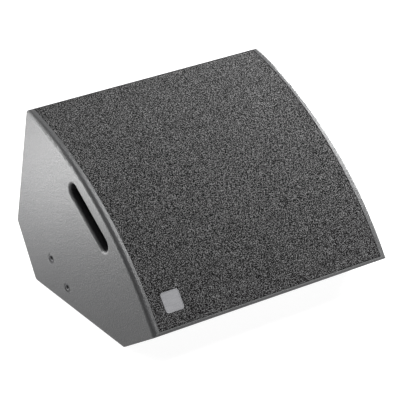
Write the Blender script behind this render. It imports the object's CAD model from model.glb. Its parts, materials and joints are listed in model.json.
import json
from math import ceil, cos, pi, radians, sin, sqrt

import bpy
from mathutils import Matrix, Vector
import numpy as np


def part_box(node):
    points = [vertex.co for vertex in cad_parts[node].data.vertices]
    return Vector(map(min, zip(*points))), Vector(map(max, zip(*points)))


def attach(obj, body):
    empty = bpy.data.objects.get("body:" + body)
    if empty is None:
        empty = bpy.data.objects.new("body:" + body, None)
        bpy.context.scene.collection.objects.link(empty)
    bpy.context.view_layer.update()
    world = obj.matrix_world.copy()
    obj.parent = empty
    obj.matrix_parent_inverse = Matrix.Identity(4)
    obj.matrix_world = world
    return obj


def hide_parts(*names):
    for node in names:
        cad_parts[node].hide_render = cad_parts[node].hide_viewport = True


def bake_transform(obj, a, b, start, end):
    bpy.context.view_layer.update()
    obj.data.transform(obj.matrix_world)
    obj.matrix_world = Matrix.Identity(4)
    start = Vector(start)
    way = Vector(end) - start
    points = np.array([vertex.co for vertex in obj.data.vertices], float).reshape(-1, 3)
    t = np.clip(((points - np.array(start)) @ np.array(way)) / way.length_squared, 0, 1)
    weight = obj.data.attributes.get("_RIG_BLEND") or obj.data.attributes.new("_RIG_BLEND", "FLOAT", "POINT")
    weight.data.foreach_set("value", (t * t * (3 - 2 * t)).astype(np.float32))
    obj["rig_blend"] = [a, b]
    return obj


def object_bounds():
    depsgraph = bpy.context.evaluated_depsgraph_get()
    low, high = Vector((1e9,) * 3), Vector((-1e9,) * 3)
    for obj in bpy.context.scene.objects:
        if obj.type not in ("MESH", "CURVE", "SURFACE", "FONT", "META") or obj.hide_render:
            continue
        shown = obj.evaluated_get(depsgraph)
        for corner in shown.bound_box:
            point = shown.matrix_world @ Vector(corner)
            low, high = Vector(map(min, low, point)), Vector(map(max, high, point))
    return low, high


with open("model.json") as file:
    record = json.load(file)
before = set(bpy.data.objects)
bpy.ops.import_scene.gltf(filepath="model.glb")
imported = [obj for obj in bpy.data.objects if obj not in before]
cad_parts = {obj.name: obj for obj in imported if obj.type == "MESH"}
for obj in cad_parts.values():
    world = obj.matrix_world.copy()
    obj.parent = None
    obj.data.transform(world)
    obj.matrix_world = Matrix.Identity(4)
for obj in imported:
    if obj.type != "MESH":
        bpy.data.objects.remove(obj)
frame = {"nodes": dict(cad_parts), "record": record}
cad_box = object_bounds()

bpy.ops.object.select_all(action="DESELECT")
nodes = frame["nodes"]

# ---- Camera
# A long lens far off to the left of the cabinet's front and above it, which looks down near the middle of
# the cabinet.
low, high = cad_box
middle = (low + high) / 2
camera_turn = radians(-34.655)
camera_rise = radians(26.646)
camera_distance = 4.411
aim_left, aim_below = 0.0008, 0.0068
toward = Vector((sin(camera_turn) * cos(camera_rise), -cos(camera_turn) * cos(camera_rise), sin(camera_rise)))
rightward = Vector((cos(camera_turn), sin(camera_turn), 0))
upward = toward.cross(rightward)
camera = bpy.data.objects.new("camera", bpy.data.cameras.new("camera"))
camera.data.sensor_width = 36
camera.data.lens = 191.63
camera.location = middle + toward * camera_distance - rightward * aim_left - upward * aim_below
camera.rotation_euler = (pi / 2 - camera_rise, 0, camera_turn)
bpy.context.scene.collection.objects.link(camera)
bpy.context.scene.camera = camera
bpy.context.scene.view_settings.view_transform = "Standard"


# ---- Floor and room
# A white studio floor that only lightly shows the cabinet's shadow, in a room that looks white, to the
# camera and in gloss, and is dim as a light, so that the lamps shape the cabinet.
def feed(tree, sockets, inputs):
    """Set sockets to values, or link them to other sockets."""
    for name, value in inputs.items():
        if isinstance(value, bpy.types.NodeSocket):
            tree.links.new(value, sockets[name])
        else:
            sockets[name].default_value = value


def add_node(tree, kind, inputs, **settings):
    """A shader node with its settings, and its inputs set to values or linked to sockets."""
    node = tree.nodes.new("ShaderNode" + kind)
    for name, value in settings.items():
        setattr(node, name, value)
    feed(tree, node.inputs, inputs)
    return node


def sum_of(tree, operation, *values):
    """The result of a Math node."""
    return add_node(tree, "Math", dict(enumerate(values)), operation=operation).outputs[0]


def empty_tree(owner):
    """A material's or a world's node tree, emptied."""
    owner.use_nodes = True
    owner.node_tree.nodes.clear()
    return owner.node_tree


def looked_at(tree):
    """1 where the background is looked at, straight or by way of gloss or glass."""
    path = tree.nodes.new("ShaderNodeLightPath")
    shiny = sum_of(tree, "MAXIMUM", path.outputs["Is Glossy Ray"], path.outputs["Is Transmission Ray"])
    return sum_of(tree, "MAXIMUM", path.outputs["Is Camera Ray"], shiny)


floor_size = 14
floor_grey = (0.30, 0.30, 0.30, 1)
floor_glow = 0.92
room_light = 0.04
bpy.ops.mesh.primitive_plane_add(size=floor_size, location=(0, 0, low.z))
floor = bpy.context.object
floor.name = "floor"
floor_paint = bpy.data.materials.new("studio_floor")
tree = empty_tree(floor_paint)
lit = add_node(tree, "BsdfDiffuse", {"Color": floor_grey})
glow = add_node(tree, "Emission", {"Strength": sum_of(tree, "MULTIPLY", looked_at(tree), floor_glow)})
both = add_node(tree, "AddShader", {0: lit.outputs[0], 1: glow.outputs[0]})
add_node(tree, "OutputMaterial", {"Surface": both.outputs[0]})
floor.data.materials.append(floor_paint)

room = bpy.data.worlds.new("studio")
tree = empty_tree(room)
brightness = sum_of(tree, "MULTIPLY_ADD", looked_at(tree), 1 - room_light, room_light)
backdrop = add_node(tree, "Background", {"Color": (1, 1, 1, 1), "Strength": brightness})
add_node(tree, "OutputWorld", {"Surface": backdrop.outputs[0]})
bpy.context.scene.world = room


# ---- Lamps
# Soft boxes high and low to the right of the front, one behind it on the right, one above the rear, and a
# row of small ones behind the cabinet on its left, which glance along the side panel.
def soft_box(name, place, aim, width, height, power):
    """A rectangular lamp that faces a point."""
    lamp = bpy.data.lights.new(name, "AREA")
    lamp.shape = "RECTANGLE"
    lamp.size = width
    lamp.size_y = height
    lamp.energy = power
    box = bpy.data.objects.new(name, lamp)
    box.location = place
    box.rotation_euler = (Vector(aim) - Vector(place)).to_track_quat("-Z", "Y").to_euler()
    box.visible_camera = False
    bpy.context.scene.collection.objects.link(box)


side_middle = (-0.29, 0.1, 0.25)
soft_box("front_right_box", (1.3, -0.35, 2.2), middle, 0.9, 0.9, 65)
soft_box("front_right_strip", (1.4, -0.75, 1.9), middle, 0.5, 0.5, 29)
soft_box("front_box", (1.6, -2.3, 0.7), (0, -0.2, 0.1), 0.8, 0.8, 32)
soft_box("right_rear_box", (1.5, 0.4, 0.6), (0.29, 0, 0.25), 0.6, 0.6, 45)
soft_box("rear_box", (0.1, 1.5, 2.2), middle, 1.6, 0.8, 4)
soft_box("left_rear_box", (-0.7, 0.75, 0.45), side_middle, 0.5, 0.3, 4.7)
soft_box("left_low_box", (-0.8, 0.45, 0.12), side_middle, 0.4, 0.24, 3.0)
soft_box("left_low_strip", (-0.6, 0.5, 0.12), side_middle, 0.3, 0.24, 1.3)
soft_box("left_high_box", (-1.0, 0.9, 1.0), (-0.29, 0.05, 0.25), 0.8, 0.6, 6.4)


# ---- Cabinet panels
# Birch plywood, glued up and sprayed outside with a dark, hard, finely textured paint. Inside, the wood
# is bare.
def effect(name, inputs, outputs):
    """A new node group, its tree and its two ends, to which the sockets are added."""
    group = bpy.data.node_groups.new(name, "ShaderNodeTree")
    for socket, kind in inputs.items():
        group.interface.new_socket(socket, in_out="INPUT", socket_type="NodeSocket" + kind)
    for socket, kind in outputs.items():
        group.interface.new_socket(socket, in_out="OUTPUT", socket_type="NodeSocket" + kind)
    return group, group.nodes.new("NodeGroupInput").outputs, group.nodes.new("NodeGroupOutput").inputs


def use_effect(tree, group, inputs):
    """The outputs of an effect placed in a material."""
    return add_node(tree, "Group", inputs, node_tree=group).outputs


def vector_of(tree, operation, *values):
    """The outputs of a Vector Math node."""
    return add_node(tree, "VectorMath", dict(enumerate(values)), operation=operation).outputs


def noise(tree, place, scale, detail=2.0, roughness=0.5):
    """Cloudy noise with so many patches to the metre, from 0 to 1 about 0.5."""
    inputs = {"Vector": place, "Scale": scale, "Detail": detail, "Roughness": roughness}
    return add_node(tree, "TexNoise", inputs).outputs["Fac"]


def spread(tree, value, start, end, first=0.0, last=1.0):
    """A value stretched from the range start to end onto first to last, and held there."""
    inputs = {"Value": value, "From Min": start, "From Max": end, "To Min": first, "To Max": last}
    return add_node(tree, "MapRange", inputs).outputs["Result"]


def tint(tree, share, first, second):
    """A colour between two colours, which are three numbers or sockets."""
    colours = [c if isinstance(c, bpy.types.NodeSocket) else (*c, 1) for c in (first, second)]
    inputs = {0: share, 6: colours[0], 7: colours[1]}
    return add_node(tree, "Mix", inputs, data_type="RGBA").outputs[2]


def bumps(tree, height, depth, strength):
    """A normal from a height of 0 to 1 that stands for a depth in metres."""
    inputs = {"Height": height, "Distance": depth, "Strength": strength}
    return add_node(tree, "Bump", inputs).outputs["Normal"]


def new_finish(name):
    """A material with its tree, its shader and the piece's own coordinates."""
    material = bpy.data.materials.new(name)
    tree = empty_tree(material)
    surface = tree.nodes.new("ShaderNodeBsdfPrincipled")
    add_node(tree, "OutputMaterial", {"Surface": surface.outputs[0]})
    return material, tree, surface.inputs, tree.nodes.new("ShaderNodeTexCoord").outputs["Object"]


def coat(piece, material):
    """Give a piece or a CAD node its material."""
    piece.data.materials.clear()
    piece.data.materials.append(material)


# Mottle: an uneven fine grain, with larger cloudy patches.
mottle, given, result = effect(
    "mottle",
    {"Place": "Vector", "Grain Scale": "Float", "Patch Scale": "Float"},
    {"Grain": "Float", "Patches": "Float"},
)
mottle.links.new(noise(mottle, given["Place"], given["Grain Scale"], 3, 0.6), result["Grain"])
mottle.links.new(noise(mottle, given["Place"], given["Patch Scale"], 2), result["Patches"])

# Plywood: long streaks of grain on the faces of a board, and its thin plies on the edges.
two_plies = 0.0028
streaks_per_metre = (14, 260, 260)
plywood, given, result = effect(
    "plywood",
    {"Place": "Vector", "Normal": "Vector", "Across": "Vector"},
    {"Shade": "Float", "Grain": "Float"},
)
depth = vector_of(plywood, "DOT_PRODUCT", given["Place"], given["Across"])["Value"]
ply = sum_of(plywood, "SINE", sum_of(plywood, "MULTIPLY", depth, 2 * pi / two_plies))
facing_out = vector_of(plywood, "DOT_PRODUCT", given["Normal"], given["Across"])["Value"]
edge = sum_of(plywood, "LESS_THAN", sum_of(plywood, "ABSOLUTE", facing_out), 0.5)
stretched = vector_of(plywood, "MULTIPLY", given["Place"], streaks_per_metre)["Vector"]
grain = noise(plywood, stretched, 1.0, 4, 0.6)
plies = sum_of(plywood, "MULTIPLY", edge, sum_of(plywood, "MULTIPLY", ply, 0.32))
plywood.links.new(sum_of(plywood, "ADD", grain, plies), result["Shade"])
plywood.links.new(grain, result["Grain"])

# Overspray: the paint covers a panel's outside and the front bay, and ends inside the cabinet.
front_axis = Vector((0, 0.35421, -0.33255))  # the axis of the front's curve, along X
bay_radius = 0.7333
overspray, given, result = effect(
    "overspray", {"Place": "Vector", "Outward": "Vector", "Inner Face": "Float"}, {"Painted": "Float"}
)
reach = vector_of(overspray, "DOT_PRODUCT", given["Place"], given["Outward"])["Value"]
outside = sum_of(overspray, "GREATER_THAN", reach, given["Inner Face"])
from_axis = vector_of(overspray, "SUBTRACT", given["Place"], front_axis)["Vector"]
square_to_axis = vector_of(overspray, "MULTIPLY", from_axis, (0, 1, 1))["Vector"]
radius = vector_of(overspray, "LENGTH", square_to_axis)["Value"]
in_bay = sum_of(overspray, "GREATER_THAN", radius, bay_radius)
overspray.links.new(sum_of(overspray, "MAXIMUM", outside, in_bay), result["Painted"])


def board_finish(name, across):
    """A finish for a board whose plies lie across the given direction, with bare birch's colour."""
    material, tree, surface, place = new_finish(name)
    normal = tree.nodes.new("ShaderNodeNewGeometry").outputs["True Normal"]
    wood = use_effect(tree, plywood, {"Place": place, "Normal": normal, "Across": across})
    colour = tint(tree, spread(tree, wood["Shade"], 0.25, 0.85), (0.50, 0.36, 0.22), (0.68, 0.53, 0.36))
    return material, tree, surface, place, wood, colour


sill_slope, rear_slope, lower_slope = radians(33.8), radians(78.2), radians(58.57)
# Each panel's outward direction, and how far along it the inside face lies.
panel_faces = {
    "left_side_panel": ((-1, 0, 0), 0.27501),
    "right_side_panel": ((1, 0, 0), 0.27501),
    "rear_panel": ((0, sin(rear_slope), cos(rear_slope)), 0.2638),
    "lower_rear_panel": ((0, sin(lower_slope), -cos(lower_slope)), 0.1456),
    "bottom_panel": ((0, 0, -1), -0.0199),
    "front_sill": ((0, -sin(sill_slope), -cos(sill_slope)), 0.0645),
}
for name, (outward, inner_face) in panel_faces.items():
    finish, tree, surface, place, wood, bare = board_finish("painted_" + name, outward)
    texture = use_effect(tree, mottle, {"Place": place, "Grain Scale": 330, "Patch Scale": 9})
    shade = tint(tree, texture["Patches"], (0.019, 0.0195, 0.0205), (0.030, 0.0305, 0.032))
    paint = tint(tree, spread(tree, texture["Grain"], 0.35, 0.7, 0, 0.5), shade, (0.048, 0.048, 0.050))
    covered = {"Place": place, "Outward": outward, "Inner Face": inner_face}
    painted = use_effect(tree, overspray, covered)["Painted"]
    sheen = spread(tree, texture["Grain"], 0.3, 0.7, 0.34, 0.46)
    dullness = sum_of(tree, "MULTIPLY", sum_of(tree, "SUBTRACT", 1, painted), 0.25)
    relief = tint(tree, painted, (0, 0, 0), texture["Grain"])
    feed(tree, surface, {
        "Base Color": tint(tree, painted, bare, paint),
        "Roughness": sum_of(tree, "ADD", sheen, dullness),
        "Normal": bumps(tree, relief, 0.0012, 0.75),
    })
    coat(nodes[name], finish)

# ---- Baffle, battens, rails and blocks
# Birch plywood inside the cabinet. The baffle is stained black, and the battens, the grille's rails and
# the blocks behind the inserts are left bare.
record = frame["record"]
front_out = Vector(record["behaviour"]["joints"][0]["axis"])  # the driver's axis, square to the baffle
for name in ("baffle_battens", "grille_rails", "insert_blocks"):
    finish, tree, surface, place, wood, colour = board_finish("birch_" + name, (1, 0, 0))
    feed(tree, surface, {
        "Base Color": colour,
        "Roughness": spread(tree, wood["Grain"], 0.3, 0.7, 0.55, 0.7),
        "Normal": bumps(tree, wood["Grain"], 0.0005, 0.4),
    })
    coat(nodes[name], finish)
finish, tree, surface, place, wood, colour = board_finish("black_plywood", front_out)
feed(tree, surface, {
    "Base Color": tint(tree, 0.97, colour, (0.012, 0.012, 0.013)),
    "Roughness": spread(tree, wood["Grain"], 0.3, 0.7, 0.6, 0.75),
    "Normal": bumps(tree, wood["Grain"], 0.0006, 0.5),
})
coat(nodes["baffle_board"], finish)


# ---- Port tubes and handle cups
# Injection-moulded black plastic with a fine spark-eroded grain. The tubes are glued in the baffle, and
# each cup is screwed behind its hand slot.
def half_and_half(tree, first, second):
    """The middle between two values."""
    return sum_of(tree, "MULTIPLY_ADD", first, 0.5, sum_of(tree, "MULTIPLY", second, 0.5))


def mottled_finish(name, dark, light, rough, grain_scale, relief, metal=0.0):
    """A finish with an uneven grain, whose colour and gloss drift from place to place."""
    material, tree, surface, place = new_finish(name)
    scales = {"Grain Scale": grain_scale, "Patch Scale": grain_scale / 30}
    texture = use_effect(tree, mottle, {"Place": place, **scales})
    blotches = half_and_half(tree, texture["Grain"], texture["Patches"])
    feed(tree, surface, {
        "Base Color": tint(tree, spread(tree, blotches, 0.35, 0.65), dark, light),
        "Roughness": spread(tree, texture["Grain"], 0.3, 0.7, *rough),
        "Normal": bumps(tree, texture["Grain"], relief, 0.6),
        "Metallic": metal,
    })
    return material


moulded = mottled_finish(
    "moulded_plastic", (0.013, 0.013, 0.014), (0.026, 0.026, 0.027), (0.4, 0.55), 1500, 0.0002
)
for name in ("left_port_tube", "right_port_tube", "left_handle_cup", "right_handle_cup"):
    coat(nodes[name], moulded)
black_oxide = mottled_finish(
    "black_oxide", (0.02, 0.02, 0.021), (0.055, 0.055, 0.058), (0.35, 0.55), 900, 0.0001, 0.6
)
coat(nodes["handle_cup_screws"], black_oxide)


# ---- Threaded inserts
# Turned steel inserts with a flange, blackened, pressed into the side panels and the blocks behind them.
# A swivel bracket or a stand adapter screws into their M10 threads.
def facing(place, outward, sideways=(1, 0, 0)):
    """A matrix that takes a piece made upright to a place, with its top facing outward."""
    out = Vector(outward).normalized()
    side = Vector(sideways)
    side = (side - out * side.dot(out)).normalized()
    turned = Matrix((side, out.cross(side), out)).transposed().to_4x4()
    return Matrix.Translation(place) @ turned


def select_only(*pieces):
    """Select these pieces and nothing else, with the last one active."""
    bpy.ops.object.select_all(action="DESELECT")
    for piece in pieces:
        piece.select_set(True)
        bpy.context.view_layer.objects.active = piece


def put(piece, place):
    """Put a piece made at the origin where a matrix says, with its place in its mesh."""
    piece.matrix_world = place
    bpy.ops.object.transform_apply()


def close_shell():
    """Turn all faces of the piece in edit mode outward, and leave edit mode."""
    bpy.ops.mesh.select_all(action="SELECT")
    bpy.ops.mesh.normals_make_consistent(inside=False)
    bpy.ops.object.mode_set(mode="OBJECT")


def turned_piece(name, profile, steps, smooth=35):
    """A piece turned about the upright axis from the radii and heights of its section, in millimetres."""
    points = [Vector((radius, 0, height)) / 1000 for radius, height in profile]
    select_only()
    bpy.ops.mesh.primitive_plane_add(size=0.001)
    piece = bpy.context.object
    piece.name = name
    bpy.ops.object.mode_set(mode="EDIT")
    bpy.ops.mesh.select_mode(type="VERT")
    bpy.ops.mesh.merge(type="CENTER")
    bpy.ops.transform.translate(value=points[0])
    for before, after in zip(points, points[1:]):
        bpy.ops.mesh.extrude_vertices_move(TRANSFORM_OT_translate={"value": after - before})
    bpy.ops.mesh.select_all(action="SELECT")
    bpy.ops.mesh.spin(steps=steps, angle=2 * pi, center=(0, 0, 0), axis=(0, 0, 1))
    bpy.ops.mesh.select_all(action="SELECT")
    bpy.ops.mesh.remove_doubles(threshold=1e-6)
    close_shell()
    bpy.ops.object.shade_smooth_by_angle(angle=radians(smooth))
    return piece


def copies_at(piece, places):
    """Copies of a piece, each with its own mesh, at places given as matrices. The piece itself goes."""
    made = []
    for number, place in enumerate(places, 1):
        select_only(piece)
        bpy.ops.object.duplicate()
        copy = bpy.context.object
        copy.name = f"{piece.name}_{number}"
        put(copy, place)
        made.append(copy)
    bpy.data.objects.remove(piece)
    return made


def fit(pieces, body, node, material):
    """Coat pieces and put them in a CAD node's place, on its body and in its material slot."""
    for piece in pieces:
        coat(piece, material)
        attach(piece, body)
        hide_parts(node)


core, root = 4.25, 4.85
thread_pitch = 1.5
thread = []
for turn_number in range(13):
    top = -1.3 - thread_pitch * turn_number
    thread += [(core, top), (core, top - 0.25), (root, top - 0.75), (root, top - 0.9)]
insert = turned_piece(
    "threaded_insert",
    [(0, -22.0), (3.6, -22.0), (core, -21.2), *reversed(thread), (5.3, -0.35), (5.7, 0), (9.9, 0),
     (10.4, -0.3), (10.5, -0.6), (10.5, -1.5), (7.0, -1.5), (7.0, -23.6), (6.2, -24.4), (0, -24.4)],
    40,
)
insert_places = [
    facing(Vector(mount["pos_m"]), mount["axis"], (0, 1, 0))
    for mount in record["mounts"]
    if mount["kind"] == "threaded_hole"
]
fit(copies_at(insert, insert_places), "cabinet", "threaded_inserts", black_oxide)


# ---- Feet
# Round moulded rubber feet, with grip rings underneath, held to the bottom by zinc-plated wood screws
# whose heads are sunk in the rubber.
def cut_out(piece, cutter):
    """Take a cutter's shape out of a piece. The cutter itself goes."""
    cut = piece.modifiers.new("cut", "BOOLEAN")
    cut.operation = "DIFFERENCE"
    cut.object = cutter
    select_only(piece)
    bpy.ops.object.modifier_apply(modifier=cut.name)
    bpy.data.objects.remove(cutter)


def cross_screw(name, head_radius, head_height, shank_radius, length):
    """A pan-head screw with a cross recess, whose head sits on the level 0, in millimetres."""
    threaded = length - 2.5 * shank_radius
    core = shank_radius * 0.72
    pitch, flank = 1.3, 0.25
    turns = int(threaded / pitch)
    shank = []
    for turn_number in range(turns):
        level = -threaded * (turn_number + 0.5) / turns
        shank += [(core, level + flank), (shank_radius, level), (core, level - flank)]
    screw = turned_piece(
        name,
        [(0, head_height), (head_radius * 0.55, head_height), (head_radius * 0.85, head_height * 0.78),
         (head_radius, head_height * 0.4), (head_radius, 0), (shank_radius, 0), *shank,
         (0.1, -length), (0, -length)],
        20,
    )
    for turned in (0, pi / 2):
        select_only()
        bpy.ops.mesh.primitive_cube_add(size=0.001, location=(0, 0, head_height / 1000))
        blade = bpy.context.object
        blade.scale = (head_radius * 1.1, head_radius * 0.22, head_height * 1.2)
        blade.rotation_euler.z = turned
        bpy.ops.object.transform_apply(location=False)
        cut_out(screw, blade)
    return screw


rubber = mottled_finish("foot_rubber", (0.012, 0.012, 0.012), (0.028, 0.027, 0.026), (0.7, 0.85), 700, 0.0003)
foot = turned_piece(
    "rubber_foot",
    [(1.85, 5), (15, 5), (15, 4.2), (13.6, 0.9), (13.0, 0.2), (12.4, 0), (11.2, 0), (10.9, 0.5), (9.9, 0.5),
     (9.6, 0), (8.2, 0), (7.9, 0.5), (6.9, 0.5), (6.6, 0), (4.4, 0), (3.9, 0.4), (3.8, 2.5), (1.85, 2.5),
     (1.85, 5)],
    48,
)
foot_x, foot_front, foot_rear = 0.258, -0.11004, 0.15116
foot_spots = [(x, y) for x in (-foot_x, foot_x) for y in (foot_front, foot_rear)]
feet = copies_at(foot, [Matrix.Translation((x, y, 0)) for x, y in foot_spots])
fit(feet, "cabinet", "rubber_feet", rubber)
zinc = mottled_finish("zinc_steel", (0.42, 0.43, 0.45), (0.62, 0.63, 0.64), (0.22, 0.4), 500, 0.0001, 1.0)
foot_screw = cross_screw("foot_screw", 3.4, 2.0, 1.75, 12.5)
foot_seat = 0.0025
foot_screws = copies_at(foot_screw, [facing((x, y, foot_seat), (0, 0, -1)) for x, y in foot_spots])
fit(foot_screws, "cabinet", "foot_screws", zinc)

# ---- Grille
# A curved sheet of perforated steel, 1.5 mm thick, powder coated black and screwed to its rails. It guards
# the drivers and carries the foam.
hole_pitch = 0.0094
hole_half_width = 0.0033
grille_half_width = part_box("grille")[1].x
grille_rim = 0.0136
rim_overlap = 0.001
grille_thickness = 0.0015
grille_start = radians(34.387)
grille_end = radians(77.822)


def apply_modifiers(piece):
    """Apply a piece's modifiers in their order."""
    bpy.ops.object.mode_set(mode="OBJECT")
    for modifier in list(piece.modifiers):
        bpy.ops.object.modifier_apply(modifier=modifier.name)


def bend_to_front(piece, radius, start, end):
    """Bend an upright sheet, whose outside faces the front, to the front's curve, and put it there."""
    bend = piece.modifiers.new("bend", "SIMPLE_DEFORM")
    bend.deform_method = "BEND"
    bend.deform_axis = "X"
    bend.angle = end - start
    apply_modifiers(piece)
    slope = (start + end) / 2
    piece.location = front_axis + Vector((0, -cos(slope), sin(slope))) * radius
    piece.rotation_euler.x = -slope
    bpy.ops.object.transform_apply()


grille_length = bay_radius * (grille_end - grille_start)
tile_radius = hole_pitch / sqrt(3)
row_pitch = 1.5 * tile_radius
select_only()
bpy.ops.mesh.primitive_circle_add(vertices=6, radius=tile_radius, fill_type="NGON")
grille = bpy.context.object
grille.name = "perforated_grille"
bpy.ops.object.mode_set(mode="EDIT")
bpy.ops.mesh.select_mode(type="FACE")
bpy.ops.mesh.select_all(action="SELECT")
bpy.ops.mesh.inset(thickness=hole_pitch / 2 - hole_half_width)
bpy.ops.mesh.delete(type="FACE")
bpy.ops.mesh.select_all(action="SELECT")
bpy.ops.mesh.duplicate_move(TRANSFORM_OT_translate={"value": (hole_pitch / 2, row_pitch, 0)})
rows = ceil(grille_length / (2 * row_pitch))
columns = ceil(2 * grille_half_width / hole_pitch)
for count, step in ((columns, (hole_pitch, 0, 0)), (rows, (0, 2 * row_pitch, 0))):
    array = grille.modifiers.new("holes", "ARRAY")
    array.count = count
    array.use_relative_offset = False
    array.use_constant_offset = True
    array.constant_offset_displace = step
    array.use_merge_vertices = True
    array.merge_threshold = 1e-5
apply_modifiers(grille)
bpy.ops.object.mode_set(mode="EDIT")
bpy.ops.mesh.select_all(action="SELECT")
middle_x = (columns - 0.5) * hole_pitch / 2
middle_y = (rows - 0.5) * row_pitch
bpy.ops.transform.translate(value=(-middle_x, -middle_y, 0))
for normal, reach in (
    ((1, 0, 0), grille_half_width), ((-1, 0, 0), grille_half_width),
    ((0, 1, 0), grille_length / 2), ((0, -1, 0), grille_length / 2),
):
    bpy.ops.mesh.select_all(action="SELECT")
    cut_at = Vector(normal) * (reach - grille_rim + rim_overlap)
    bpy.ops.mesh.bisect(plane_co=cut_at, plane_no=normal, clear_outer=True)
bpy.ops.object.mode_set(mode="OBJECT")
select_only()
bpy.ops.mesh.primitive_plane_add(size=1)
rim = bpy.context.object
bpy.ops.object.mode_set(mode="EDIT")
bpy.ops.transform.resize(value=(2 * grille_half_width, grille_length, 1))
bpy.ops.mesh.inset(thickness=grille_rim)
bpy.ops.mesh.delete(type="FACE")
bpy.ops.mesh.select_all(action="SELECT")
bpy.ops.mesh.subdivide(number_cuts=48)
bpy.ops.object.mode_set(mode="OBJECT")
select_only(rim, grille)
bpy.ops.object.join()
grille.rotation_euler.x = pi / 2
bpy.ops.object.transform_apply()
sheet = grille.modifiers.new("sheet", "SOLIDIFY")
sheet.thickness = grille_thickness
sheet.offset = -1
bend_to_front(grille, bay_radius, grille_start, grille_end)
powder = mottled_finish("powder_coat", (0.022, 0.022, 0.023), (0.04, 0.04, 0.042), (0.5, 0.65), 650, 0.0003)
fit([grille], "cabinet", "grille", powder)
coat(nodes["grille_screws"], black_oxide)

# ---- Foam cover
# A sheet of open-cell foam, 8 mm thick, laid on the grille between the side panels. Its torn cells make
# a coarse, sparkling black and grey surface.
foam_low, foam_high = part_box("front_foam")
foam_radius = 0.7413
foam_thickness = foam_radius - bay_radius
foam_start = radians(34.43)
foam_end = radians(77.85)
foam_swell = 0.0009  # how far each side edge swells into the gap beside it
foam_tiles = 24
foam_cells = 9
skin_depth = 0.004
border_sink = 0.0004
badge_low, badge_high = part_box("badge_plate")
badge_width = badge_high.x - badge_low.x
badge_x = (badge_low.x + badge_high.x) / 2
badge_slope = radians(38.246)


def select_where(piece, kind, test):
    """Select the vertices or faces whose middle passes a test, in edit mode."""
    bpy.ops.object.mode_set(mode="EDIT")
    bpy.ops.mesh.select_mode(type="VERT" if kind == "vertices" else "FACE")
    bpy.ops.mesh.select_all(action="DESELECT")
    bpy.ops.object.mode_set(mode="OBJECT")
    for part in getattr(piece.data, kind):
        part.select = test(part.co if kind == "vertices" else part.center)
    bpy.ops.object.mode_set(mode="EDIT")


foam_width = foam_high.x - foam_low.x + 2 * foam_swell
foam_length = foam_radius * (foam_end - foam_start)
select_only()
bpy.ops.mesh.primitive_grid_add(x_subdivisions=foam_tiles, y_subdivisions=foam_tiles, size=1)
foam = bpy.context.object
foam.name = "foam_cover"
bpy.ops.object.mode_set(mode="EDIT")
bpy.ops.transform.resize(value=(foam_width, foam_length, 1))
bpy.ops.object.mode_set(mode="OBJECT")
foam.rotation_euler.x = pi / 2
bpy.ops.object.transform_apply()
bpy.ops.object.mode_set(mode="EDIT")
bpy.ops.mesh.select_all(action="SELECT")
bpy.ops.mesh.extrude_region_move(TRANSFORM_OT_translate={"value": (0, foam_thickness, 0)})
select_where(foam, "polygons", lambda place: place.y < 1e-5)
bpy.ops.mesh.subdivide(number_cuts=foam_cells)
close_shell()
skin = foam.vertex_groups.new(name="skin")
skin.add([v.index for v in foam.data.vertices if v.co.y < 1e-5], 1, "REPLACE")
torn = bpy.data.textures.new("torn_cells", "VORONOI")
torn.noise_scale = 0.005
torn.noise_intensity = 1.2
lumps = bpy.data.textures.new("foam_lumps", "CLOUDS")
lumps.noise_scale = 0.0035
for texture, depth in ((torn, -0.0008), (lumps, -0.0009)):
    displace = foam.modifiers.new(texture.name, "DISPLACE")
    displace.texture = texture
    displace.strength = depth
    displace.mid_level = 0.45
    displace.direction = "Y"
    displace.vertex_group = "skin"
apply_modifiers(foam)
border_x, border_z = foam_width / 2 - 1e-4, foam_length / 2 - 1e-4
select_where(
    foam,
    "vertices",
    lambda place: place.y < skin_depth and (abs(place.x) > border_x or abs(place.z) > border_z),
)
bpy.ops.transform.translate(
    value=(0, border_sink, 0),
    use_proportional_edit=True,
    proportional_edit_falloff="SHARP",
    proportional_size=0.003,
)
seat_z = foam_radius * (badge_slope - (foam_start + foam_end) / 2)
seat_reach = badge_width / 2 + 0.0006
seat_depth = 0.0011
select_where(
    foam,
    "vertices",
    lambda place: place.y < skin_depth
    and abs(place.x - badge_x) < seat_reach
    and abs(place.z - seat_z) < seat_reach,
)
bpy.ops.transform.resize(value=(1, 0, 1), center_override=(0, seat_depth, 0))
bend_to_front(foam, foam_radius, foam_start, foam_end)

foam_finish, tree, surface, place = new_finish("acoustic_foam")
cells = noise(tree, place, 500, 1, 0.5)
lightness = spread(tree, cells, 0.49, 0.62)
feed(tree, surface, {
    "Base Color": tint(tree, lightness, (0.002, 0.002, 0.002), (0.148, 0.147, 0.148)),
    "Roughness": 0.9,
    "Specular IOR Level": 0.1,
    "Normal": bumps(tree, cells, 0.002, 0.8),
})
fit([foam], "cabinet", "front_foam", foam_finish)


# ---- Badge plate
# A blank satin-anodised aluminium plate with rounded corners and a raised, bevelled rim. It is pinned in
# a seat in the foam, low on the left of the front.
def rounded_plate(name, width, length, corner, segments, thickness):
    """A plate on the level 0 with rounded corners, left in edit mode with its top selected."""
    select_only()
    bpy.ops.mesh.primitive_plane_add(size=1)
    plate = bpy.context.object
    plate.name = name
    bpy.ops.object.mode_set(mode="EDIT")
    bpy.ops.transform.resize(value=(width, length, 1))
    bpy.ops.mesh.select_mode(type="VERT")
    bpy.ops.mesh.bevel(offset=corner, segments=segments, affect="VERTICES")
    bpy.ops.mesh.select_mode(type="FACE")
    bpy.ops.mesh.select_all(action="SELECT")
    bpy.ops.mesh.extrude_region_move(TRANSFORM_OT_translate={"value": (0, 0, thickness)})
    return plate


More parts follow.
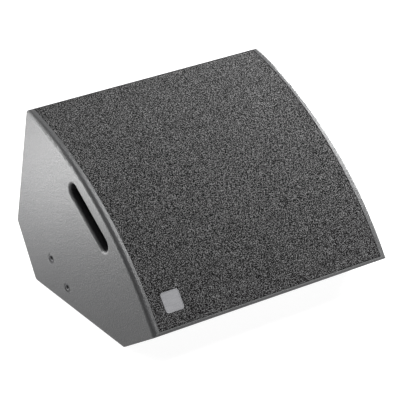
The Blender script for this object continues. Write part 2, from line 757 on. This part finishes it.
badge = rounded_plate(
    "blank_badge_plate", badge_width, badge_width, corner=0.006, segments=8, thickness=0.0011
)
outer_bevel, rim_width, inner_bevel = 0.0005, 0.0016, 0.0004
bpy.ops.mesh.inset(thickness=outer_bevel, depth=0.0004)
bpy.ops.mesh.inset(thickness=rim_width)
bpy.ops.mesh.inset(thickness=inner_bevel, depth=-0.0003)
close_shell()
bpy.ops.object.shade_smooth_by_angle(angle=radians(20))
badge_sink = 0.0001
badge_back = foam_radius - seat_depth - badge_sink
badge_out = Vector((0, -cos(badge_slope), sin(badge_slope)))
put(badge, facing(front_axis + badge_out * badge_back + Vector((badge_x, 0, 0)), badge_out))

badge_finish, tree, surface, place = new_finish("satin_aluminium")
strokes = vector_of(tree, "MULTIPLY", place, (60, 4000, 4000))["Vector"]
brushing = noise(tree, strokes, 1.0, 3, 0.6)
feed(tree, surface, {
    "Base Color": tint(tree, spread(tree, brushing, 0.3, 0.7), (0.10, 0.10, 0.105), (0.17, 0.17, 0.175)),
    "Roughness": spread(tree, brushing, 0.3, 0.7, 0.4, 0.5),
    "Normal": bumps(tree, brushing, 0.0001, 0.4),
    "Metallic": 1.0,
})
fit([badge], "cabinet", "badge_plate", badge_finish)

# ---- Woofer frame and gasket
# A die-cast basket, painted black, bolted to the baffle, with a foam ring that seals it and holds the
# edge of the surround.
driver_middle = Vector((0, -0.00173, 0.22018))
driver_face = facing(driver_middle, front_out)
cast = mottled_finish("cast_basket", (0.03, 0.03, 0.031), (0.065, 0.064, 0.065), (0.45, 0.65), 380, 0.0005)
coat(nodes["basket"], cast)
gasket = turned_piece(
    "driver_gasket_ring",
    [(170.1, 6), (175.9, 6), (176, 8), (175.2, 8.8), (173.6, 9), (171.9, 8.9), (170.4, 8.2), (170.1, 6)],
    96,
)
put(gasket, driver_face)
gasket_foam = mottled_finish(
    "gasket_foam", (0.025, 0.025, 0.026), (0.06, 0.06, 0.06), (0.8, 0.95), 900, 0.0006
)
fit([gasket], "cabinet", "driver_gasket", gasket_foam)


# ---- Surround and spider
# Doped cloth, pressed to a half roll between the cone and the basket, and to rings of waves between the
# coil former and its seat. Both bend as the cone travels.
def soft_ring(name, outline, thickness, node, inner, outer, moving, material):
    """A soft ring from the radii, heights and thickness of its section, in millimetres. It follows the
    moving body inside the inner radius and the cabinet outside the outer one, which are in metres."""
    upper = [(radius, height + thickness) for radius, height in reversed(outline)]
    ring = turned_piece(name, [*outline, *upper, outline[0]], 96, 60)
    put(ring, driver_face)
    coat(ring, material)
    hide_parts(node)
    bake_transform(ring, "cabinet", moving, driver_middle, driver_middle + front_out)
    for point, share in zip(ring.data.vertices, ring.data.attributes["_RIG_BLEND"].data):
        offset = point.co - driver_middle
        radius = (offset - front_out * offset.dot(front_out)).length
        held = min(max((radius - inner) / (outer - inner), 0), 1)
        share.value = 1 - held * held * (3 - 2 * held)
    return ring


cloth, tree, surface, place = new_finish("doped_cloth")
thread_spacing = 0.0011
weave = [
    sum_of(tree, "SINE", sum_of(tree, "MULTIPLY", axis, 2 * pi / thread_spacing))
    for axis in add_node(tree, "SeparateXYZ", {0: place}).outputs[:2]
]
threads = sum_of(tree, "MULTIPLY_ADD", sum_of(tree, "MULTIPLY", *weave), 0.35, 0.5)
dope = noise(tree, place, 60, 3)
soaked = sum_of(tree, "MULTIPLY", threads, dope)
feed(tree, surface, {
    "Base Color": tint(tree, soaked, (0.03, 0.028, 0.026), (0.10, 0.096, 0.09)),
    "Roughness": spread(tree, dope, 0.3, 0.7, 0.5, 0.8),
    "Normal": bumps(tree, threads, 0.0003, 0.6),
})

roll_middle, roll_radius, roll_foot = 159, 5.5, 5
roll = [
    (roll_middle - roll_radius * cos(step * pi / 12), roll_foot + roll_radius * sin(step * pi / 12))
    for step in range(13)
]
surround_line = [(147.5, roll_foot), (150, roll_foot), *roll, (168, roll_foot), (175.8, roll_foot)]
surround = soft_ring(
    "cloth_surround", surround_line, 1.0, "surround", 0.1535, 0.1645, "woofer_cone", cloth
)
spider_level, wave_height, wave_start, wave_reach = -82, 0.75, 42.2, 37.76
waves = [
    (wave_start + step * wave_reach / 64, spider_level + wave_height * (1 - cos(step * pi / 4)))
    for step in range(65)
]
spider_line = [(38.7, spider_level), *waves, (90.4, spider_level)]
spider = soft_ring("cloth_spider", spider_line, 0.9, "spider", 0.042, 0.081, "woofer_cone", cloth)

# ---- Cone, coil and motor
# A pressed paper cone on a glass-fibre former, wound with copper, in the gap of a ferrite magnet between
# turned and plated steel plates.

# Rings: fine turning or pressing marks around an axis.
rings, given, result = effect(
    "rings",
    {"Place": "Vector", "Centre": "Vector", "Axis": "Vector", "Fineness": "Float"},
    {"Rings": "Float"},
)
offset = vector_of(rings, "SUBTRACT", given["Place"], given["Centre"])["Vector"]
across_axis = vector_of(rings, "CROSS_PRODUCT", offset, given["Axis"])["Vector"]
distance = vector_of(rings, "LENGTH", across_axis)["Value"]
stretched_distance = sum_of(rings, "MULTIPLY", distance, given["Fineness"])
marks = add_node(
    rings, "TexNoise", {"W": stretched_distance, "Scale": 1.0, "Detail": 2.0}, noise_dimensions="1D"
)
rings.links.new(marks.outputs["Fac"], result["Rings"])

# Windings: turns of wire side by side along an axis.
windings, given, result = effect(
    "windings", {"Place": "Vector", "Axis": "Vector", "Wire": "Float"}, {"Turns": "Float"}
)
along = vector_of(windings, "DOT_PRODUCT", given["Place"], given["Axis"])["Value"]
turns = sum_of(windings, "DIVIDE", sum_of(windings, "MULTIPLY", along, 2 * pi), given["Wire"])
ridges = sum_of(windings, "MULTIPLY_ADD", sum_of(windings, "SINE", turns), 0.5, 0.5)
windings.links.new(ridges, result["Turns"])


def marks_around(tree, place, fineness):
    """Rings around the driver's axis."""
    inputs = {"Place": place, "Centre": driver_middle, "Axis": front_out, "Fineness": fineness}
    return use_effect(tree, rings, inputs)["Rings"]


def turned_finish(name, dark, light, rough, fineness, relief, metal):
    """A finish with marks of turning or pressing around the driver's axis."""
    material, tree, surface, place = new_finish(name)
    marks = marks_around(tree, place, fineness)
    clouds = use_effect(tree, mottle, {"Place": place, "Grain Scale": 900, "Patch Scale": 40})
    share = half_and_half(tree, marks, clouds["Patches"])
    feed(tree, surface, {
        "Base Color": tint(tree, spread(tree, share, 0.3, 0.7), dark, light),
        "Roughness": spread(tree, clouds["Grain"], 0.3, 0.7, *rough),
        "Normal": bumps(tree, marks, relief, 0.5),
        "Metallic": metal,
    })
    return material


def wire_finish(name, axis, wire):
    """Enamelled copper wire wound about an axis."""
    material, tree, surface, place = new_finish(name)
    wound = use_effect(tree, windings, {"Place": place, "Axis": axis, "Wire": wire})["Turns"]
    enamel = noise(tree, place, 300, 2)
    lacquer = tint(tree, enamel, (0.66, 0.26, 0.10), (0.80, 0.38, 0.18))
    feed(tree, surface, {
        "Base Color": tint(tree, spread(tree, wound, 0, 0.4), (0.22, 0.07, 0.03), lacquer),
        "Roughness": spread(tree, enamel, 0.3, 0.7, 0.2, 0.35),
        "Normal": bumps(tree, wound, wire / 2, 0.7),
        "Metallic": 0.9,
    })
    return material


paper, tree, surface, place = new_finish("cone_paper")
pressed = marks_around(tree, place, 300)
fibres = use_effect(tree, mottle, {"Place": place, "Grain Scale": 700, "Patch Scale": 50})
pulp = tint(tree, fibres["Grain"], (0.035, 0.033, 0.03), (0.085, 0.08, 0.075))
feed(tree, surface, {
    "Base Color": tint(tree, spread(tree, fibres["Patches"], 0.4, 0.7, 0, 0.5), pulp, (0.05, 0.048, 0.046)),
    "Roughness": spread(tree, pressed, 0.3, 0.7, 0.75, 0.9),
    "Normal": bumps(tree, sum_of(tree, "ADD", fibres["Grain"], pressed), 0.0004, 0.5),
})
coat(nodes["cone"], paper)

former, tree, surface, place = new_finish("glass_fibre")
tape = use_effect(tree, windings, {"Place": place, "Axis": front_out, "Wire": 0.0006})["Turns"]
resin = noise(tree, place, 220, 3)
feed(tree, surface, {
    "Base Color": tint(tree, sum_of(tree, "MULTIPLY", tape, resin), (0.42, 0.24, 0.08), (0.66, 0.46, 0.22)),
    "Roughness": spread(tree, resin, 0.3, 0.7, 0.3, 0.5),
    "Normal": bumps(tree, tape, 0.0001, 0.5),
})
coat(nodes["voice_coil_former"], former)
coat(nodes["voice_coil_winding"], wire_finish("voice_coil_wire", front_out, 0.0005))

plated = turned_finish("turned_steel", (0.34, 0.35, 0.36), (0.5, 0.51, 0.52), (0.25, 0.42), 2500, 0.0001, 1.0)
for name in ("top_plate", "pole_piece", "tweeter_front_plate", "tweeter_top_plate"):
    coat(nodes[name], plated)
ferrite = mottled_finish("ferrite", (0.10, 0.10, 0.105), (0.27, 0.27, 0.28), (0.55, 0.8), 500, 0.0004, 0.3)
for name in ("magnet_ring", "tweeter_magnet"):
    coat(nodes[name], ferrite)
coat(nodes["driver_bolts"], black_oxide)
for name in ("tee_nuts", "woofer_terminals"):
    coat(nodes[name], zinc)

# ---- Tweeter
# A compression driver behind the woofer's pole: a moulded horn and phase plug, a pressed foil dome with
# an edge-wound coil on a thin film ring, its own magnet, and a moulded rear cover.
for name in ("horn", "phase_plug", "tweeter_rear_cover"):
    coat(nodes[name], moulded)
foil = turned_finish("pressed_foil", (0.55, 0.55, 0.57), (0.72, 0.72, 0.74), (0.18, 0.3), 6000, 0.00005, 1.0)
coat(nodes["tweeter_dome"], foil)
coat(nodes["tweeter_coil"], wire_finish("tweeter_coil_wire", front_out, 0.0003))
coat(nodes["tweeter_terminals"], zinc)
film = mottled_finish("film_ring", (0.45, 0.27, 0.09), (0.62, 0.42, 0.2), (0.25, 0.4), 300, 0.0001)
film_level = -163.8
film_roll = [(27 - 2 * cos(step * pi / 8), film_level + 0.25 * sin(step * pi / 8)) for step in range(9)]
suspension = soft_ring(
    "film_suspension",
    [(23.5, film_level), *film_roll, (34, film_level)],
    0.12,
    "tweeter_suspension",
    0.0245,
    0.0295,
    "tweeter_diaphragm",
    film,
)


# ---- Connector dish and sockets
# A pressed steel dish, powder coated black, sunk in the rear panel. Two round locking loudspeaker sockets
# are screwed on its floor, with a keyed post inside each and contact tabs behind.
dish_out = Vector((0, 0.97887, 0.20450))
dish_middle = Vector((0, 0.23967, 0.21570))
dish_place = facing(dish_middle, dish_out, (-1, 0, 0))
socket_x = 0.03
socket_seat = -0.030
socket_width = 0.032
socket_screw_spread = 0.0133
socket_screw_hole = 0.0015
barrel_hole = 0.0129
dish_screw_x, dish_screw_y = 0.077, 0.04
flange_thickness = 0.002
coat(nodes["connector_dish"], powder)
edge_bevel = 0.0004
straight_edge = flange_thickness - edge_bevel
socket = rounded_plate(
    "speaker_socket", socket_width, socket_width, corner=0.003, segments=5, thickness=straight_edge
)
bpy.ops.mesh.inset(thickness=edge_bevel, depth=edge_bevel)
close_shell()
for spot, radius in (
    (0, barrel_hole),
    (-socket_screw_spread, socket_screw_hole),
    (socket_screw_spread, socket_screw_hole),
):
    select_only()
    bpy.ops.mesh.primitive_cylinder_add(vertices=40, radius=radius, depth=0.02, location=(spot, spot, 0.001))
    cut_out(socket, bpy.context.object)
barrel = turned_piece(
    "barrel",
    [(0, -19), (13, -19), (13, 2.6), (12.7, 3.0), (11.4, 3.0), (11, 2.5), (11, -15.9), (4.6, -15.9),
     (4.6, -2.6), (4.2, -2), (3.1, -2), (2.8, -2.6), (2.8, -14), (0, -14)],
    48,
)
rib_size = (1.6, 2.2, 16.5)
rib_radius, rib_level = 0.0104, -0.0075
for angle in (0.4, 2.6, 4.3):
    select_only()
    bpy.ops.mesh.primitive_cube_add(size=0.001)
    rib = bpy.context.object
    rib_place = Matrix.Rotation(angle, 4, "Z") @ Matrix.Translation((rib_radius, 0, rib_level))
    put(rib, rib_place @ Matrix.Diagonal((*rib_size, 1)))
    bevel = rib.modifiers.new("soft_edges", "BEVEL")
    bevel.width = 0.0003
    bpy.ops.object.modifier_apply(modifier=bevel.name)
    select_only(rib, barrel)
    bpy.ops.object.join()
select_only(barrel, socket)
bpy.ops.object.join()
bpy.ops.object.shade_smooth_by_angle(angle=radians(30))
socket_spots = [dish_place @ Matrix.Translation((x, 0, socket_seat)) for x in (-socket_x, socket_x)]
fit(copies_at(socket, socket_spots), "cabinet", "speaker_sockets", moulded)
coat(nodes["socket_contacts"], zinc)
dish_screw = cross_screw("dish_screw", 3.4, 2.0, 1.75, 14.5)
dish_spots = [
    dish_place @ Matrix.Translation((x, y, flange_thickness))
    for x in (-dish_screw_x, dish_screw_x)
    for y in (-dish_screw_y, dish_screw_y)
]
fit(copies_at(dish_screw, dish_spots), "cabinet", "dish_screws", black_oxide)
socket_screw = cross_screw("socket_screw", 2.6, 1.4, 1.4, 6.0)
corners = [
    spot @ Matrix.Translation((corner, corner, flange_thickness))
    for spot in socket_spots
    for corner in (-socket_screw_spread, socket_screw_spread)
]
fit(copies_at(socket_screw, corners), "cabinet", "socket_screws", black_oxide)

# ---- Crossover and leads
# A glass-epoxy board on metal standoffs over the bottom panel, with wound inductors, film capacitors,
# cement resistors and terminal blocks, and black sheathed leads to the sockets and the drivers.
board, tree, surface, place = new_finish("green_board")
track_grid = {"Vector": place, "Scale": 24.0, "Mortar Size": 0.07, "Mortar Smooth": 0.3}
tracks = add_node(tree, "TexBrick", track_grid)
wear = noise(tree, place, 120, 3)
resist = tint(tree, wear, (0.03, 0.12, 0.055), (0.05, 0.18, 0.085))
between = sum_of(tree, "SUBTRACT", 1, tracks.outputs["Fac"])
feed(tree, surface, {
    "Base Color": tint(tree, between, (0.09, 0.24, 0.10), resist),
    "Roughness": spread(tree, wear, 0.3, 0.7, 0.25, 0.4),
    "Normal": bumps(tree, tracks.outputs["Fac"], 0.0001, 0.5),
})
coat(nodes["crossover_board"], board)
coat(nodes["board_standoffs"], zinc)
coat(nodes["board_inductors"], wire_finish("inductor_wire", (0, 0, 1), 0.0012))
sleeve = mottled_finish("capacitor_sleeve", (0.42, 0.08, 0.04), (0.58, 0.14, 0.07), (0.18, 0.3), 200, 0.0001)
coat(nodes["board_capacitors"], sleeve)
cement = mottled_finish("resistor_cement", (0.62, 0.61, 0.57), (0.80, 0.79, 0.75), (0.75, 0.9), 900, 0.0004)
coat(nodes["board_resistors"], cement)
blocks = mottled_finish("terminal_block", (0.05, 0.16, 0.08), (0.08, 0.22, 0.11), (0.35, 0.5), 500, 0.0001)
coat(nodes["board_terminals"], blocks)
sheath = mottled_finish("lead_sheath", (0.02, 0.02, 0.02), (0.04, 0.04, 0.04), (0.5, 0.65), 600, 0.0002)
for name in ("input_leads", "woofer_lead", "tweeter_lead"):
    coat(nodes[name], sheath)

# ---- Wadding
# A mat of white polyester fleece with a tufted surface, stapled inside the lower rear panel. It damps the
# air in the cabinet.
mat_middle = Vector((0, 0.20411, 0.07602))
mat_out = Vector((0, -0.85327, 0.52148))
mat_thickness = 0.019
mat = rounded_plate("wadding_mat", 0.474, 0.088, corner=0.011, segments=4, thickness=mat_thickness)
close_shell()
put(mat, Matrix.Translation((0, 0, -mat_thickness / 2)))
remesh = mat.modifiers.new("even_mesh", "REMESH")
remesh.mode = "VOXEL"
remesh.voxel_size = 0.004
tufts = bpy.data.textures.new("fleece_tufts", "CLOUDS")
tufts.noise_scale = 0.014
pull = mat.modifiers.new("tufts", "DISPLACE")
pull.texture = tufts
pull.strength = 0.0045
pull.mid_level = 0.7
bpy.ops.object.modifier_apply(modifier=remesh.name)
bpy.ops.object.modifier_apply(modifier=pull.name)
bpy.ops.object.shade_smooth()
put(mat, facing(mat_middle, mat_out))
fleece, tree, surface, place = new_finish("polyester_fleece")
fibres = use_effect(tree, mottle, {"Place": place, "Grain Scale": 600, "Patch Scale": 35})
tangle = sum_of(tree, "MULTIPLY", fibres["Grain"], fibres["Patches"])
feed(tree, surface, {
    "Base Color": tint(tree, spread(tree, tangle, 0.1, 0.4), (0.50, 0.50, 0.48), (0.74, 0.74, 0.72)),
    "Roughness": 0.95,
    "Normal": bumps(tree, fibres["Grain"], 0.002, 0.8),
})
fit([mat], "cabinet", "wadding", fleece)
